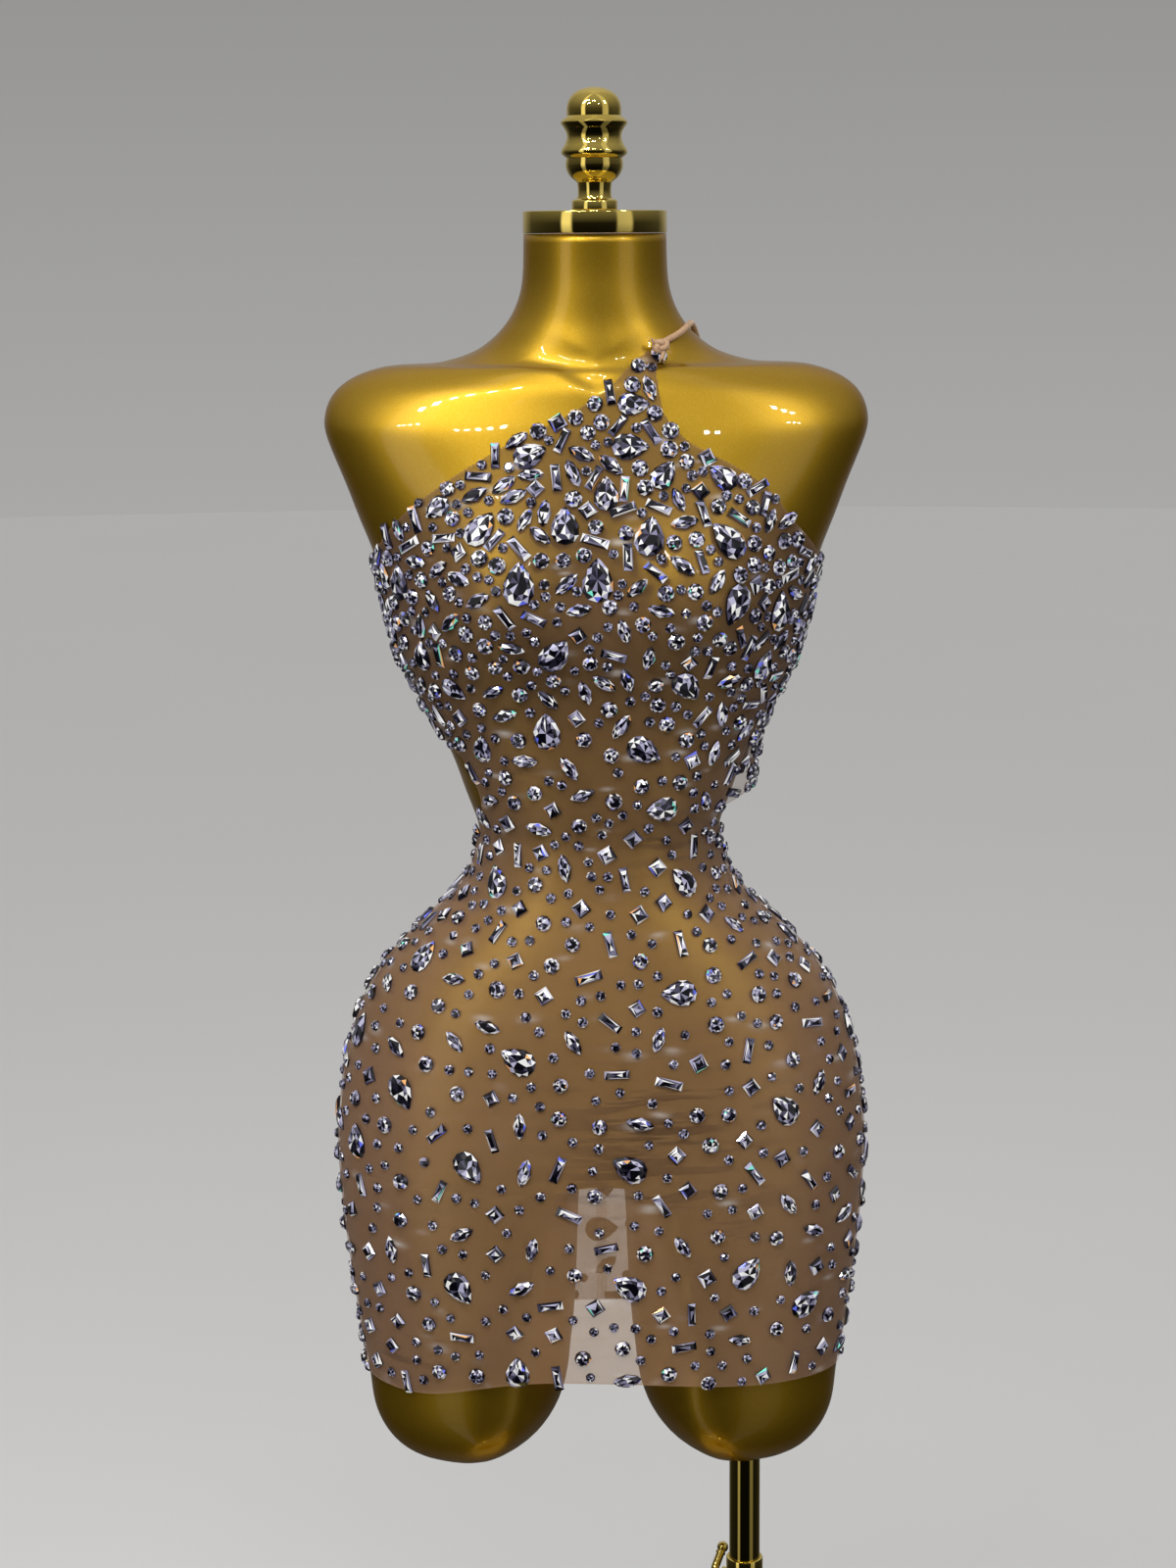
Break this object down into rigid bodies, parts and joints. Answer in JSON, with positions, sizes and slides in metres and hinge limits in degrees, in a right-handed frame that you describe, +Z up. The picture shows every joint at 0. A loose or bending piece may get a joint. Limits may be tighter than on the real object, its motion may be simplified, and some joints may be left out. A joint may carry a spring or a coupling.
{
  "type": "mini dress on dress form",
  "caption": "Sheer stretch mini dress with a pointed one-strap neckline, side cut-outs and set crystals, on a limbless dress form with a height-adjustable pole stand.",
  "frame": {"origin": "centre of the base plate's underside, on the floor, straight below the dress form's own axis", "axes": "+Z up, away from the floor face, along the object's longest extent; the dress's front faces -Y; +X is the wearer's left, the side of the strap and of the pole"},
  "size_m": [0.38, 0.38, 1.544],
  "materials": {
    "mesh_cloth": "matte",
    "strap_cord": "matte",
    "gold_paint": "satin",
    "gold_metal": "polished",
    "crystal": "polished"
  },
  "bodies": {
    "stand": {"base_plate": "gold_metal", "outer_tube": "gold_metal"},
    "mast": {"mast": "gold_metal"},
    "figure": {"form": "gold_paint", "neck_ring": "gold_metal", "finial": "gold_metal", "front_panel": "mesh_cloth", "skirt_back": "mesh_cloth", "back_band_left": "mesh_cloth", "back_band_right": "mesh_cloth", "strap": "strap_cord", "strap_knot": "strap_cord"},
    "clamp": {"clamp_screw": "gold_metal"}
  },
  "joints": [
    {"name": "height_slide", "type": "slide", "parent": "stand", "child": "mast", "axis": [0, 0, 1], "range_m": [-0.045, 0.25]},
    {"name": "figure_turn", "type": "hinge", "parent": "mast", "child": "figure", "pos_m": [0.102, 0, 0.7], "axis": [0, 0, 1], "range_deg": [-180, 180]},
    {"name": "clamp_turn", "type": "hinge", "parent": "stand", "child": "clamp", "pos_m": [0.0867, 0.01286, 0.478], "axis": [-0.766, 0.6428, 0], "range_deg": [-180, 180]}
  ]
}
